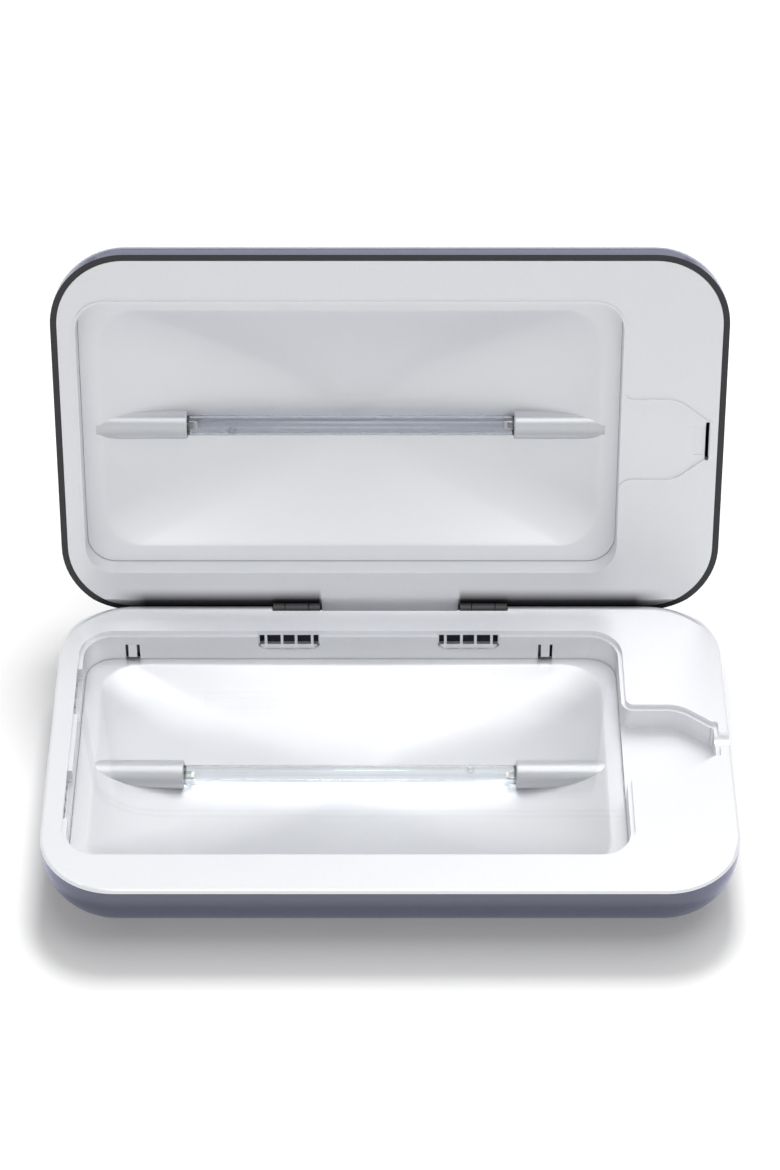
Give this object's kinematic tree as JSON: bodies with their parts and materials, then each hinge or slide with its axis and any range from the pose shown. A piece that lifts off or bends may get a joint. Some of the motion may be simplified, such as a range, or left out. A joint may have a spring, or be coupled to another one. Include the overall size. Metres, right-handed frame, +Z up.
{
  "type": "phone sanitizer box",
  "caption": "Flat clamshell box that cleans a phone with ultraviolet light: a hinged lid, a lamp in a bright dish in each half, a clear plate and a bay for a charging cable.",
  "frame": {"origin": "middle of the open box's footprint, on the surface that its feet stand on", "axes": "+X to the right, +Y to the back where the hinge is, +Z up; the lid stands open"},
  "size_m": [0.224, 0.1846, 0.1509],
  "materials": {
    "gloss_shell": "polished dark gunmetal",
    "silver_liner": "satin silver paint",
    "bright_dish": "bright satin coating",
    "quartz": "polished clear plate",
    "lamp_glass": "clear tube",
    "lead_wire": "drawn wire",
    "boot_rubber": "moulded",
    "circuit_board": "solder mask",
    "copper_winding": "enamelled winding",
    "black_plastic": "moulded",
    "plated_steel": "plated",
    "lens_plastic": "moulded clear"
  },
  "bodies": {
    "base": {"base_shell": "gloss_shell", "base_tray": "silver_liner", "base_reflector": "bright_dish", "quartz_plate": "quartz", "base_lamp": "lamp_glass", "base_electrodes": "lead_wire", "base_lamp_cap_left": "silver_liner", "base_lamp_cap_right": "silver_liner", "base_lamp_boots": "boot_rubber", "base_lamp_leads": "boot_rubber", "control_board": "circuit_board", "lid_switch": "lamp_glass", "lamp_driver": "circuit_board", "driver_transformer": "copper_winding", "power_inlet": "black_plastic", "usb_socket": "plated_steel", "case_screws": "plated_steel", "board_screws": "plated_steel", "rubber_feet": "boot_rubber", "hinge_pins": "plated_steel"},
    "lid": {"lid_shell": "gloss_shell", "lid_liner": "silver_liner", "lid_reflector": "bright_dish", "lid_lamp": "lamp_glass", "lid_electrodes": "lead_wire", "lid_lamp_cap_left": "silver_liner", "lid_lamp_cap_right": "silver_liner", "lid_lamp_boots": "boot_rubber", "lid_lamp_leads": "boot_rubber", "lid_magnet": "plated_steel", "indicator_board": "circuit_board", "indicator_lens": "lens_plastic"}
  },
  "joints": [
    {"name": "lid_hinge", "type": "hinge", "parent": "base", "child": "lid", "pos_m": [0, 0.03746, 0.0264], "axis": [1, 0, 0], "range_deg": [0, 105.6]}
  ]
}
